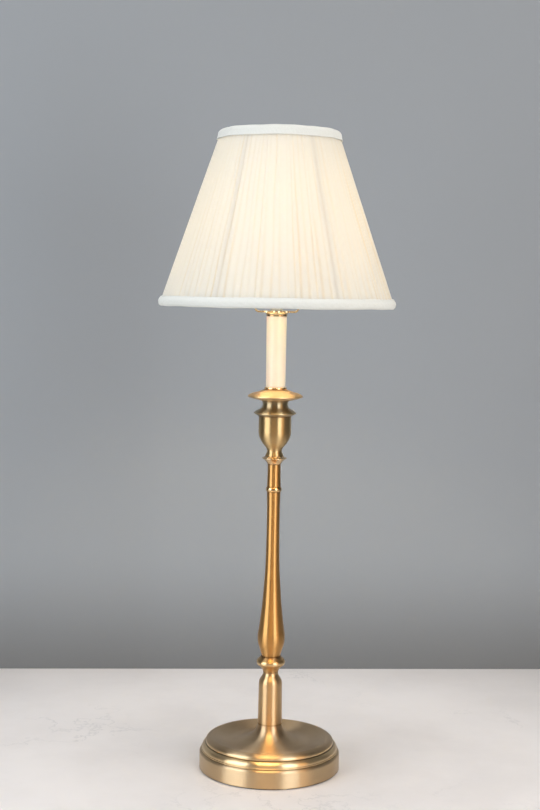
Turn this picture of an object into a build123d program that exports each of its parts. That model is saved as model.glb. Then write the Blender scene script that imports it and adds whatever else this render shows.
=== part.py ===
from build123d import *
import os
from math import cos, pi, radians, sin

# Candlestick table lamp, in millimetres. +Z is up, the front faces -Y, and the origin is the
# middle of the felt's underside. The turned brass pieces are stacked on one threaded pipe.

# Overall sizes
LAMP_HEIGHT = 838.2             # 33 in, to the top of the shade
SHADE_HEIGHT = 227.0            # a 9 in shade, as the photograph shows it
SHADE_BOTTOM = LAMP_HEIGHT - SHADE_HEIGHT
COVER_TOP_RADIUS = 75.9         # the cover's cone, carried up to the shade's top
COVER_BOTTOM_RADIUS = 154.2     # and down to its bottom
TRIM_TOP_RADIUS = 79.9
TRIM_BOTTOM_RADIUS = 154.0
BASE_RADIUS = 92.9
HARP_HEIGHT = 203.2             # 8 in, from the saddle to the shade's seat

# Lamp pipe and fits
PIPE_RADIUS = 4.8
PIPE_BORE = 3.2
STACK_BORE = 5.1                # every piece stacked on the pipe is bored to this radius
RUNNING_FIT = 0.05
FACE_GAP = 0.2                  # between flat faces that turn or lift apart

# Levels where one stacked piece meets the next
FELT_TOP = 1.5
BAND_TOP = 25.5
BASE_TOP = 60.0
COLUMN_TOP = 129.0
KNOP_SEAT = 146.8
BALUSTER_TOP = 369.9
BEAD_TOP = 376.3
STEM_TOP = 406.3
FOOT_TOP = 417.4
CUP_TOP = 469.7
CUP_RIM_TOP = 490.0
PAN_TOP = 504.0
SLEEVE_BOTTOM = 507.6
SLEEVE_TOP = 599.6
CAP_TOP = 604.5
SADDLE_TOP = 606.7
LOCKNUT_TOP = 611.3

# Base
BAND_WALL = 2.0
WEIGHT_BOTTOM = 14.0
LIP_BOTTOM = 23.5               # the band's inner lip, clamped between the weight and the dish
HUB_BOTTOM = 35.0
CORD_HEIGHT = 8.2
CORD_HOLE = 3.2
BUSHING_RADIUS = 4.4

# Socket, switch and bulb
SOCKET_BOTTOM = LOCKNUT_TOP
PIPE_TOP = 620.0
SOCKET_CAP_RADIUS = 17.6
SOCKET_CAP_TOP = 631.6
SHELL_RADIUS = 16.6
SHELL_BOTTOM = 629.0
SHELL_TOP = 668.0
SHELL_WALL = 0.5
BLOCK_RADIUS = 13.6             # the moulded block in the socket
BLOCK_BOTTOM = 622.0
BLOCK_STEP = 633.0              # the block is cut to flats for the terminals below this
BLOCK_TOP = 643.0
TERMINAL_HEIGHT = 628.0
TERMINAL_FLATS = 11.0           # from the axis to each flat
SWITCH_HEIGHT = 637.0
SWITCH_STEM_RADIUS = 1.6
SWITCH_STEM_FRONT = -30.0
SWITCH_STEM_BACK = -4.0
KEY_BACK = -28.5
KEY_LENGTH = 10.0
KEY_SLOT_WIDTH = 5.0
SCREW_SHELL_RADIUS = 13.3       # inside the crests of its thread
BULB_TIP = 644.6
BULB_CAP_RADIUS = 13.0
BULB_RADIUS = 23.5
BULB_LENGTH = 89.0
BULB_THREAD_PITCH = 3.63

# Harp and finial
LEG_SPACING = 27.8              # from the axis to each leg
SADDLE_WIDTH = 13.0
EAR_TOP = 616.0
EAR_WIDTH = 4.4
WIRE_RADIUS = 1.5
LEG_STRAIGHT = 24.0
FERRULE_LENGTH = 13.0
FERRULE_RADIUS = 3.5
FERRULE_BORE = 2.8
SEAT_TOP = CAP_TOP + HARP_HEIGHT + 2.5
STUD_RADIUS = 3.1
STUD_LENGTH = 9.5
INSERT_RADIUS = 4.6
FINIAL_TOP = LAMP_HEIGHT - 2.0

# Shade
PLEATS = 60
PLEAT_DEPTH_BOTTOM = 1.7
PLEAT_DEPTH_TOP = 0.8
COVER_THICKNESS = 0.8
LINING_THICKNESS = 0.5
RIB_COUNT = 6
RIB_RADIUS = 1.2
RING_RADIUS = 1.6
RING_DROP = 3.2                 # from the shade's rims to the middle of the rings' wire
ARM_RADIUS = 1.5
ARM_COUNT = 3
ARM_START = 30                  # degrees, midway between two ribs
FITTER_RADIUS = 15.0
FITTER_THICKNESS = 1.6


# Drawing helpers

def outline(start, *steps):
    """A closed outline of (radius, height) points. A step is one point for a straight line, two
    for an arc through the first, and three or more for a smooth curve."""
    edges = []
    here = start
    for step in steps:
        if not isinstance(step[0], tuple):
            edges.append(Line(here, step))
            here = step
            continue
        curve = ThreePointArc if len(step) == 2 else Spline
        edges.append(curve(here, *step))
        here = step[-1]
    edges.append(Line(here, start))
    return make_face(edges)


def turned(section):
    """The solid that a section at +X sweeps round the lamp's axis."""
    return revolve(Plane.XZ * section, Axis.Z)


def tube(outer, inner, bottom, top):
    ring = Circle(outer) - Circle(inner)
    return Pos(0, 0, bottom) * extrude(ring, top - bottom)


def rod(radius, bottom, top):
    return Pos(0, 0, bottom) * extrude(Circle(radius), top - bottom)


def across(radius, start, end, height):
    """A round bar along Y, from start to end."""
    return Pos(0, start, height) * Rot(-90, 0, 0) * extrude(Circle(radius), end - start)


def hex_nut(across_flats, bore, bottom, top):
    flats = RegularPolygon(across_flats / 2, 6, major_radius=False)
    return Pos(0, 0, bottom) * extrude(flats - Circle(bore), top - bottom)


# Base

def felt_pad():
    return rod(BASE_RADIUS - 1.6, 0, FELT_TOP)


def base_band():
    inside = BASE_RADIUS - BAND_WALL
    section = outline(
        (inside, FELT_TOP),
        (BASE_RADIUS, FELT_TOP),
        (BASE_RADIUS, 20.8),
        ((92.4, 23.1), (91.0, 24.6)),
        (89.6, 25.0),
        (89.6, BAND_TOP),
        (70.0, BAND_TOP),
        (70.0, LIP_BOTTOM),
        (inside, LIP_BOTTOM),
    )
    return turned(section) - across(BUSHING_RADIUS, 80, 100, CORD_HEIGHT)


def base_dish():
    """The stepped upper base: a ledge, a rounded step, a rim roll, and a shallow dish that sweeps
    up to the column. It is turned from a casting that is hollow under its step, and is bored for
    the pipe."""
    section = outline(
        (88.6, BAND_TOP),
        (90.7, BAND_TOP),
        (90.7, 26.6),
        (89.7, 27.0),
        ((88.8, 30.9), (85.6, 33.8)),
        (84.3, 34.2),
        (84.6, 35.2),
        ((84.2, 38.2), (81.6, 40.7), (77.6, 41.9), (71.0, 40.7), (63.0, 38.6), (54.0, 37.4),
         (44.0, 38.2), (33.0, 40.6), (24.8, 44.6), (19.2, 50.6), (16.9, 56.0), (16.3, BASE_TOP)),
        (STACK_BORE, BASE_TOP),
        (STACK_BORE, HUB_BOTTOM),
        (60.0, HUB_BOTTOM),
        (77.0, 37.0),
        (81.6, 33.0),
        ((86.2, 30.8), (87.9, 27.4)),
    )
    return turned(section)


def base_weight():
    section = outline(
        (STACK_BORE, WEIGHT_BOTTOM),
        (87.0, WEIGHT_BOTTOM),
        (89.0, 16.0),
        (89.0, LIP_BOTTOM),
        (60.0, LIP_BOTTOM),
        (20.0, 27.0),
        (18.0, HUB_BOTTOM),
        (STACK_BORE, HUB_BOTTOM),
    )
    return turned(section)


def cord_bushing():
    inside = BASE_RADIUS - BAND_WALL
    flange = across(5.6, BASE_RADIUS - 0.15, BASE_RADIUS + 1.2, CORD_HEIGHT)
    barrel = across(BUSHING_RADIUS, inside - 3.0, BASE_RADIUS, CORD_HEIGHT)
    band = rod(BASE_RADIUS, FELT_TOP, BAND_TOP) - rod(inside, FELT_TOP, BAND_TOP)
    hole = across(BUSHING_RADIUS, inside - 3.0, BASE_RADIUS + 1.2, CORD_HEIGHT)
    return flange - (band - hole) + barrel - across(CORD_HOLE, 80, 100, CORD_HEIGHT)


def bottom_washer():
    return tube(12.0, STACK_BORE, WEIGHT_BOTTOM - 1.6, WEIGHT_BOTTOM)


def bottom_nut():
    top = WEIGHT_BOTTOM - 1.6
    return hex_nut(14.3, PIPE_RADIUS, top - 4.6, top)


def lamp_pipe():
    return tube(PIPE_RADIUS, PIPE_BORE, 5.0, PIPE_TOP)


# Stem

def lower_column():
    """A tube with a soft shoulder that draws in to the neck."""
    bored_to = 108.0
    section = outline(
        (STACK_BORE, bored_to),
        (13.0, bored_to),
        (13.6, BASE_TOP),
        (16.1, BASE_TOP),
        (15.4, 112.0),
        ((15.35, 114.5), (14.5, 118.2), (12.3, 122.2), (10.4, 125.6), (10.0, COLUMN_TOP)),
        (STACK_BORE, COLUMN_TOP),
    )
    return turned(section)


def knop():
    """The ring over the neck, with a lip that hides the foot of the baluster."""
    section = outline(
        (STACK_BORE, COLUMN_TOP),
        (10.0, COLUMN_TOP),
        ((10.9, 132.0), (13.6, 135.8), (17.0, 138.3)),
        ((18.9, 141.6), (17.6, 146.2)),
        ((16.0, 147.6), (13.6, 150.2)),
        (12.9, 150.2),
        ((11.6, 148.0), (10.2, KNOP_SEAT)),
        (STACK_BORE, KNOP_SEAT),
    )
    return turned(section)


def baluster():
    """The long turned stem, fullest just over its foot and slimmest near its top."""
    section = outline(
        (STACK_BORE, KNOP_SEAT),
        (9.7, KNOP_SEAT),
        ((12.4, 151.6), (14.4, 158.5), (17.1, 167.0), (18.0, 174.5), (17.0, 185.0)),
        ((15.4, 197.0), (13.2, 216.0), (11.1, 242.0), (9.6, 266.0), (8.8, 294.0), (8.45, 325.0)),
        (8.5, 352.0),
        (8.95, BALUSTER_TOP),
        (STACK_BORE, BALUSTER_TOP),
    )
    return turned(section)


def stem_bead():
    middle = (BALUSTER_TOP + BEAD_TOP) / 2
    section = outline(
        (STACK_BORE, BALUSTER_TOP),
        (9.3, BALUSTER_TOP),
        ((10.5, middle), (9.3, BEAD_TOP)),
        (STACK_BORE, BEAD_TOP),
    )
    return turned(section)


def upper_stem():
    section = outline(
        (STACK_BORE, BEAD_TOP),
        (9.0, BEAD_TOP),
        ((8.7, 386.0), (8.6, STEM_TOP)),
        (STACK_BORE, STEM_TOP),
    )
    return turned(section)


# Candle holder

def cup_foot():
    """The sharp-edged disc under the cup."""
    section = outline(
        (STACK_BORE, STEM_TOP),
        (8.8, STEM_TOP),
        ((11.4, 410.1), (15.8, 413.6)),
        ((16.3, 414.3), (15.7, 415.0)),
        ((13.4, 415.8), (12.0, FOOT_TOP)),
        (STACK_BORE, FOOT_TOP),
    )
    return turned(section)


def candle_cup():
    """The vase on a waisted neck, hollow above its floor."""
    floor = 444.0
    section = outline(
        (STACK_BORE, FOOT_TOP),
        (11.9, FOOT_TOP),
        ((10.9, 419.9), (9.7, 423.3), (10.9, 427.6), (14.5, 432.0), (18.1, 437.3), (20.6, 443.2),
         (21.4, 450.0)),
        (21.4, CUP_TOP),
        (18.9, CUP_TOP),
        (18.9, floor + 3.0),
        ((18.0, floor + 0.9), (15.9, floor)),
        (STACK_BORE, floor),
    )
    return turned(section)


def cup_rim():
    """The flared lip of the cup and the waist above it."""
    section = outline(
        (STACK_BORE, CUP_TOP),
        (21.6, CUP_TOP),
        ((24.2, 471.0), (27.4, 472.9)),
        ((27.9, 473.6), (27.2, 474.4)),
        ((22.4, 477.8), (18.2, 480.5), (16.7, 485.0), (17.1, 488.0), (18.4, CUP_RIM_TOP)),
        (STACK_BORE, CUP_RIM_TOP),
    )
    return turned(section)


def drip_pan():
    """The wide, shallow pan that catches the wax of a real candle."""
    section = outline(
        (STACK_BORE, CUP_RIM_TOP),
        (18.6, CUP_RIM_TOP),
        ((28.0, 492.1), (34.9, 494.2)),
        ((36.0, 495.5), (34.9, 496.9)),
        ((30.6, 499.1), (24.0, 501.0), (18.4, 503.0), (15.6, PAN_TOP)),
        (STACK_BORE, PAN_TOP),
    )
    return turned(section)


def candle_ring():
    """The bead that the candle stands in."""
    section = outline(
        (STACK_BORE, PAN_TOP),
        (14.0, PAN_TOP),
        ((14.8, 505.3), (13.9, SLEEVE_BOTTOM)),
        (STACK_BORE, SLEEVE_BOTTOM),
    )
    return turned(section)


def candle_sleeve():
    section = outline(
        (11.4, SLEEVE_BOTTOM),
        (12.6, SLEEVE_BOTTOM),
        (13.2, SLEEVE_TOP),
        (11.9, SLEEVE_TOP),
    )
    return turned(section)


def candle_cap():
    section = outline(
        (STACK_BORE, SLEEVE_TOP),
        (13.5, SLEEVE_TOP),
        ((13.7, 601.4), (14.2, 602.6)),
        ((14.5, 603.6), (14.0, CAP_TOP)),
        (STACK_BORE, CAP_TOP),
    )
    return turned(section)


# Harp

def harp_saddle():
    """A flat strip on the candle's cap, its ends turned up as ears for the harp's legs."""
    bend = 4.6
    thickness = SADDLE_TOP - CAP_TOP
    middle = CAP_TOP + thickness / 2
    path = FilletPolyline(
        (-LEG_SPACING, 0, EAR_TOP),
        (-LEG_SPACING, 0, middle),
        (LEG_SPACING, 0, middle),
        (LEG_SPACING, 0, EAR_TOP),
        radius=bend,
    )
    section = Pos(-LEG_SPACING, 0, EAR_TOP) * Rectangle(thickness, EAR_WIDTH)
    strip = sweep(section, path)
    plate = Pos(0, 0, CAP_TOP) * extrude(SlotOverall(34, SADDLE_WIDTH) + Circle(8.4), thickness)
    return strip + plate - rod(STACK_BORE, CAP_TOP, SADDLE_TOP)


def saddle_locknut():
    return hex_nut(14.3, PIPE_RADIUS, SADDLE_TOP, LOCKNUT_TOP)


def harp_path():
    """The wire's middle line, up the right leg and down the left: a straight leg, a flare out, a
    bow to the widest point, a longer bow back in, a tight shoulder and a flat top."""
    flare = radians(38)
    flare_radius = 30.0
    bow_radius = 90.0
    return_radius = 160.0
    shoulder = radians(29)
    top = SEAT_TOP - 4.2
    foot = EAR_TOP + FACE_GAP
    knee = foot + LEG_STRAIGHT
    waist_x = LEG_SPACING + flare_radius * (1 - cos(flare))
    waist_z = knee + flare_radius * sin(flare)
    widest_x = waist_x + bow_radius * (1 - cos(flare))
    widest_z = waist_z + bow_radius * sin(flare)
    corner_x = widest_x - return_radius * (1 - cos(shoulder))
    corner_z = widest_z + return_radius * sin(shoulder)
    shoulder_radius = (top - corner_z) / (1 - sin(shoulder))
    top_x = corner_x - shoulder_radius * cos(shoulder)

    def half(side):
        curves = [Line((side * LEG_SPACING, 0, foot), (side * LEG_SPACING, 0, knee))]
        for x, z in ((waist_x, waist_z), (widest_x, widest_z), (corner_x, corner_z), (top_x, top)):
            last = curves[-1]
            curves.append(TangentArc(last @ 1, (side * x, 0, z), tangent=last % 1))
        return curves

    bridge = Line((top_x, 0, top), (-top_x, 0, top))
    return Wire(half(1) + [bridge] + half(-1))


def harp_wire():
    path = harp_path()
    foot = Pos(LEG_SPACING, 0, EAR_TOP + FACE_GAP) * Circle(WIRE_RADIUS)
    return sweep(foot, path)


def harp_seat(wire):
    """The boss that the shade stands on, with its threaded stud, clipped over the wire."""
    section = outline(
        (0, SEAT_TOP - 7.0),
        (4.6, SEAT_TOP - 7.0),
        ((5.6, SEAT_TOP - 4.2), (5.0, SEAT_TOP - 1.6)),
        (8.0, SEAT_TOP - 1.6),
        (8.0, SEAT_TOP),
        (STUD_RADIUS, SEAT_TOP),
        (STUD_RADIUS, SEAT_TOP + STUD_LENGTH - 0.6),
        (STUD_RADIUS - 0.6, SEAT_TOP + STUD_LENGTH),
        (0, SEAT_TOP + STUD_LENGTH),
    )
    return turned(section) - wire


def harp_ferrule(side):
    """The sleeve that locks a leg to its ear. It is wide below, for the ear, and close on the
    wire at its top."""
    bottom = EAR_TOP - 6.0
    top = bottom + FERRULE_LENGTH
    section = outline(
        (FERRULE_BORE, bottom),
        (FERRULE_RADIUS, bottom),
        (FERRULE_RADIUS, top - 3.0),
        ((3.1, top - 1.0), (2.4, top)),
        (WIRE_RADIUS + 2 * RUNNING_FIT, top),
        (WIRE_RADIUS + 2 * RUNNING_FIT, top - 3.0),
        (FERRULE_BORE, top - 4.4),
    )
    return Pos(side * LEG_SPACING, 0, 0) * turned(section)


def finial_insert():
    """The threaded bush inside the finial."""
    bottom = SEAT_TOP + FITTER_THICKNESS + 2 * FACE_GAP
    return tube(INSERT_RADIUS, STUD_RADIUS + RUNNING_FIT, bottom, bottom + 8.0)


def finial():
    bottom = SEAT_TOP + FITTER_THICKNESS + 2 * FACE_GAP
    bore = INSERT_RADIUS + RUNNING_FIT
    ball_radius = 8.4
    ball = FINIAL_TOP - ball_radius
    low = radians(45)
    section = outline(
        (bore, bottom),
        (7.6, bottom),
        ((8.2, bottom + 1.0), (7.6, bottom + 2.0)),
        ((6.0, bottom + 3.0), (5.6, bottom + 5.6)),
        ((6.6, bottom + 6.6), (5.9, bottom + 7.6)),
        (ball_radius * cos(low), ball - ball_radius * sin(low)),
        ((ball_radius * cos(low / 2), ball + ball_radius * sin(low / 2)), (0, FINIAL_TOP)),
        (0, bottom + 9.4),
        (bore, bottom + 9.4),
    )
    return turned(section)


# Socket and switch

def socket_cap():
    """The domed cap that screws on the pipe and carries the socket."""
    hub = 7.8
    inside = SHELL_RADIUS + 0.1
    section = outline(
        (PIPE_RADIUS, SOCKET_BOTTOM),
        (hub, SOCKET_BOTTOM),
        (hub, SOCKET_BOTTOM + 4.1),
        ((13.6, SOCKET_BOTTOM + 6.1), (SOCKET_CAP_RADIUS, SOCKET_BOTTOM + 13.3)),
        (SOCKET_CAP_RADIUS, SOCKET_CAP_TOP),
        (inside, SOCKET_CAP_TOP),
        (inside, SOCKET_BOTTOM + 13.7),
        ((12.9, SOCKET_BOTTOM + 7.3), (7.0, SOCKET_BOTTOM + 5.3)),
        (PIPE_RADIUS, SOCKET_BOTTOM + 5.3),
    )
    return turned(section)


def key_slot():
    """The slot up a sleeve's front that lets the switch stem through."""
    front = -28.0
    back = -12.0
    bottom = SHELL_BOTTOM - 1
    slot = Pos(0, (front + back) / 2, bottom) * Rectangle(KEY_SLOT_WIDTH, back - front)
    return extrude(slot, SWITCH_HEIGHT - bottom) + across(KEY_SLOT_WIDTH / 2, front, back, SWITCH_HEIGHT)


def socket_shell():
    """The thin shell with a bead round its middle and a rolled mouth."""
    inside = SHELL_RADIUS - SHELL_WALL
    bead = BLOCK_TOP + 2.8
    section = outline(
        (inside, SHELL_BOTTOM),
        (SHELL_RADIUS, SHELL_BOTTOM),
        (SHELL_RADIUS, bead - 0.8),
        ((SHELL_RADIUS + 0.5, bead), (SHELL_RADIUS, bead + 0.8)),
        (SHELL_RADIUS, SHELL_TOP - 1.6),
        ((SHELL_RADIUS + 0.8, SHELL_TOP - 0.8), (SHELL_RADIUS, SHELL_TOP)),
        (inside, SHELL_TOP),
    )
    return turned(section) - key_slot()


def socket_liner():
    """The card sleeve that insulates the shell."""
    outer = SHELL_RADIUS - SHELL_WALL - 0.1
    return tube(outer, outer - 1.0, SHELL_BOTTOM, SHELL_TOP + 0.6) - key_slot()


def socket_body():
    """The moulded block that holds the contacts and the switch."""
    upper = rod(BLOCK_RADIUS, BLOCK_STEP, BLOCK_TOP)
    flats = Rectangle(2 * TERMINAL_FLATS, 2 * BLOCK_RADIUS) & Circle(BLOCK_RADIUS)
    lower = Pos(0, 0, BLOCK_BOTTOM) * extrude(flats, BLOCK_STEP - BLOCK_BOTTOM)
    lead_well = rod(PIPE_RADIUS + 0.4, BLOCK_BOTTOM, BLOCK_BOTTOM + 4.0)
    stem_radius = SWITCH_STEM_RADIUS + RUNNING_FIT
    stem_hole = across(stem_radius, -BLOCK_RADIUS - 1, SWITCH_STEM_BACK + 1, SWITCH_HEIGHT)
    return upper + lower - lead_well - stem_hole


def terminal_screws():
    head_height = 2.0
    screws = []
    for side in (-1, 1):
        seat = Pos(side * TERMINAL_FLATS, 0, TERMINAL_HEIGHT) * Rot(0, side * 90, 0)
        head = seat * extrude(Circle(3.0), head_height)
        slot = seat * Pos(0, 0, head_height) * Box(0.8, 7.0, 1.2)
        screws.append(head - slot)
    return Compound(children=screws)


def thread_profile(inner, outer, bottom, top, pitch):
    """Points of a rounded thread drawn as rings, each a small arc from root to root."""
    count = int((top - bottom) // pitch)
    start = bottom + (top - bottom - count * pitch) / 2
    steps = [(inner, start)]
    for turn in range(count):
        root = start + (turn + 1) * pitch
        steps.append(((outer, root - pitch / 2), (inner, root)))
    steps.append((inner, top))
    return steps


def screw_shell():
    """The threaded liner that the bulb screws into."""
    bottom = BLOCK_TOP
    top = SHELL_TOP - 1.0
    wall = 0.35
    outside = thread_profile(SCREW_SHELL_RADIUS + wall, SCREW_SHELL_RADIUS + wall + 0.7, bottom, top,
                             BULB_THREAD_PITCH)
    outer = turned(outline((0, bottom), (SCREW_SHELL_RADIUS + wall, bottom), *outside, (0, top)))
    inside = thread_profile(SCREW_SHELL_RADIUS, SCREW_SHELL_RADIUS + 0.7, bottom, top,
                            BULB_THREAD_PITCH)
    inner = turned(outline((0, bottom), (SCREW_SHELL_RADIUS, bottom), *inside, (0, top)))
    return outer - inner


def centre_contact():
    """A strip across the block with the raised button that the bulb's tip presses on."""
    strip = Pos(0, 0, BLOCK_TOP) * extrude(Rectangle(6.0, 20.0), 0.5)
    return strip + rod(2.8, BLOCK_TOP, BULB_TIP - FACE_GAP)


def switch_stem():
    return across(SWITCH_STEM_RADIUS, SWITCH_STEM_FRONT, SWITCH_STEM_BACK, SWITCH_HEIGHT)


def switch_key(stem):
    """The fluted knob that turns the lamp on and off."""
    radius = 5.6
    flutes = 14
    blank = Circle(radius)
    for index in range(flutes):
        angle = 360 * index / flutes
        blank -= Rot(0, 0, angle) * Pos(radius + 0.35, 0) * Circle(0.9)
    collar = 1.5
    knob = extrude(blank, KEY_LENGTH) + Pos(0, 0, -collar) * extrude(Circle(3.4), collar)
    return Pos(0, KEY_BACK, SWITCH_HEIGHT) * Rot(90, 0, 0) * knob - stem


# Bulb

def bulb_contact():
    section = outline(
        (0, BULB_TIP),
        ((2.4, BULB_TIP + 0.4), (3.8, BULB_TIP + 1.8)),
        (0, BULB_TIP + 1.8),
    )
    return turned(section)


def bulb_insulator():
    bottom = BULB_TIP + 1.8
    section = outline((0, bottom), (4.6, bottom), (9.4, bottom + 3.2), (0, bottom + 3.2))
    return turned(section)


def bulb_cap():
    bottom = BULB_TIP + 5.0
    top = bottom + 20.0
    crest = BULB_CAP_RADIUS
    root = crest - 0.6
    thread = thread_profile(root, crest, bottom + 1.6, top - 2.0, BULB_THREAD_PITCH)
    section = outline(
        (0, bottom),
        (9.4, bottom),
        (root, bottom + 1.6),
        *thread,
        (crest, top - 1.4),
        (crest, top),
        (root - 0.6, top),
        (root - 0.6, bottom + 2.4),
        (0, bottom + 2.4),
    )
    return turned(section)


def bulb_glass():
    """A pear-shaped frosted envelope: a round head that draws in to the cap."""
    neck_bottom = BULB_TIP + 17.0
    centre = BULB_TIP + BULB_LENGTH - BULB_RADIUS

    def shape(inset):
        neck = 11.6 - inset
        radius = BULB_RADIUS - inset
        high = centre + radius * sin(pi / 4)
        draw = Spline(
            (neck, neck_bottom + 10.0), (radius * 0.78, centre - 15.5), (radius, centre),
            tangents=((0, 1), (0, 1)),
        )
        head = ThreePointArc((radius, centre), (radius * cos(pi / 4), high), (0, centre + radius))
        edges = [
            Line((0, centre + radius), (0, neck_bottom)),
            Line((0, neck_bottom), (neck, neck_bottom)),
            Line((neck, neck_bottom), (neck, neck_bottom + 10.0)),
            draw,
            head,
        ]
        return turned(make_face(edges))

    return shape(0) - shape(0.7)


def bulb_mount():
    """The glass stem inside the bulb."""
    bottom = BULB_TIP + 7.4
    section = outline(
        (0, bottom),
        (8.6, bottom),
        (8.6, bottom + 2.0),
        ((4.0, bottom + 8.0), (2.4, bottom + 22.0)),
        (2.4, bottom + 34.0),
        (0, bottom + 35.0),
    )
    return turned(section)


def bulb_filament():
    """Two support leads and the filament held between them."""
    foot = BULB_TIP + 7.4 + 28.0
    top = foot + 22.0
    spread = 11.0
    path = FilletPolyline(
        (-3.0, 0, foot),
        (-spread, 0, top),
        (0, 0, top + 5.0),
        (spread, 0, top),
        (3.0, 0, foot),
        radius=1.4,
    )
    return sweep(Plane(path @ 0, z_dir=path % 0) * Circle(0.35), path)


# Shade. The cover is a fluted cone over the wire frame, with a smooth lining inside.

def cover_radius(height):
    """The outside of the cover's cone, on the crests of its pleats."""
    share = (height - SHADE_BOTTOM) / SHADE_HEIGHT
    return COVER_BOTTOM_RADIUS + (COVER_TOP_RADIUS - COVER_BOTTOM_RADIUS) * share


def pleat_depth(height):
    share = (height - SHADE_BOTTOM) / SHADE_HEIGHT
    return PLEAT_DEPTH_BOTTOM + (PLEAT_DEPTH_TOP - PLEAT_DEPTH_BOTTOM) * share


RING_TOP = LAMP_HEIGHT - RING_DROP
RING_BOTTOM = SHADE_BOTTOM + RING_DROP
COVER_TOP = RING_TOP - RING_RADIUS - 0.4
COVER_BOTTOM = RING_BOTTOM + RING_RADIUS + 0.4


def rib_radius(height):
    """The middle of a rib's wire, close behind the cover's valleys."""
    return cover_radius(height) - pleat_depth(height) - COVER_THICKNESS - RIB_RADIUS - 0.1


def lining_radius(height):
    """The outside of the lining, close behind the ribs."""
    return rib_radius(height) - RIB_RADIUS - 0.2


def pleated_cone(inset, bottom, top):
    """A solid cone of PLEATS scallops, drawn in by inset."""
    ends = []
    for height in (bottom, top):
        crest = cover_radius(height) - inset
        valley = crest - pleat_depth(height)
        arcs = []
        for index in range(PLEATS):
            start, middle, end = [2 * pi * (index + half / 2) / PLEATS for half in range(3)]
            arcs.append(ThreePointArc(
                (valley * cos(start), valley * sin(start)),
                (crest * cos(middle), crest * sin(middle)),
                (valley * cos(end), valley * sin(end)),
            ))
        ends.append(Pos(0, 0, height) * make_face(arcs))
    return loft(ends, ruled=True)


def shade_cover():
    outside = pleated_cone(0, COVER_BOTTOM, COVER_TOP)
    return outside - pleated_cone(COVER_THICKNESS, COVER_BOTTOM - 1, COVER_TOP + 1)


def shade_lining():
    section = outline(
        (lining_radius(COVER_BOTTOM) - LINING_THICKNESS, COVER_BOTTOM),
        (lining_radius(COVER_BOTTOM), COVER_BOTTOM),
        (lining_radius(COVER_TOP), COVER_TOP),
        (lining_radius(COVER_TOP) - LINING_THICKNESS, COVER_TOP),
    )
    return turned(section)


def shade_ring(height):
    return turned(Pos(rib_radius(height), height) * Circle(RING_RADIUS))


def shade_ribs(top_ring, bottom_ring):
    top = Vector(rib_radius(RING_TOP), 0, RING_TOP)
    bottom = Vector(rib_radius(RING_BOTTOM), 0, RING_BOTTOM)
    rib = extrude(Plane(bottom, z_dir=top - bottom) * Circle(RIB_RADIUS), (top - bottom).length)
    rib = rib - top_ring - bottom_ring
    return Compound(children=[Rot(0, 0, 360 * index / RIB_COUNT) * rib for index in range(RIB_COUNT)])


def shade_fitter():
    """The washer in the middle of the spider, which sits on the harp."""
    bottom = SEAT_TOP + FACE_GAP
    return tube(FITTER_RADIUS, STUD_RADIUS + 0.4, bottom, bottom + FITTER_THICKNESS)


def spider_arms(top_ring):
    """Arms that run out from the washer, then rise to the top ring."""
    level = SEAT_TOP + FACE_GAP + FITTER_THICKNESS / 2
    path = FilletPolyline(
        (FITTER_RADIUS - 2.0, 0, level),
        (38.0, 0, level),
        (60.0, 0, RING_TOP),
        (rib_radius(RING_TOP), 0, RING_TOP),
        radius=9.0,
    )
    arm = sweep(Plane(path @ 0, z_dir=path % 0) * Circle(ARM_RADIUS), path)
    arm = arm - top_ring - rod(FITTER_RADIUS, level - 5, level + 5)
    angles = [ARM_START + 360 * index / ARM_COUNT for index in range(ARM_COUNT)]
    return Compound(children=[Rot(0, 0, angle) * arm for angle in angles])


def inside_of_trim(end, rim):
    """The space in a trim that the ring and the edges of the cover and lining fill: end is the
    trim's edge on the cover, and rim is the ring's height."""
    clear = 0.1
    toward = 1 if end > rim else -1
    mouth = end + toward
    shoulder = rim + toward * (RING_RADIUS + clear)
    far = rim - toward * (RING_RADIUS + clear)
    ring_inside = rib_radius(rim) - RING_RADIUS - clear
    ring_outside = rib_radius(rim) + RING_RADIUS + clear

    def lining_inside(height):
        return lining_radius(height) - LINING_THICKNESS - clear

    return outline(
        (lining_inside(mouth), mouth),
        (cover_radius(mouth) + clear, mouth),
        (cover_radius(shoulder) + clear, shoulder),
        (ring_outside, far),
        (ring_inside, far),
        (min(ring_inside, lining_inside(shoulder)), shoulder),
    )


def shade_top_trim(arms):
    """The bias binding folded over the top ring, slit where the spider's arms pass."""
    end = LAMP_HEIGHT - 12.6
    inner = lining_radius(end) - LINING_THICKNESS
    section = outline(
        (cover_radius(end), end),
        ((TRIM_TOP_RADIUS + 0.1, end + 1.6), (TRIM_TOP_RADIUS, LAMP_HEIGHT - 5.0)),
        ((TRIM_TOP_RADIUS - 0.9, LAMP_HEIGHT - 1.2), (TRIM_TOP_RADIUS - 3.4, LAMP_HEIGHT)),
        (inner - 2.0, LAMP_HEIGHT),
        ((inner - 3.8, LAMP_HEIGHT - 1.6), (inner - 3.8, LAMP_HEIGHT - 4.0)),
        (inner - 0.9, end),
    )
    return turned(section - inside_of_trim(end, RING_TOP)) - arms


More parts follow.
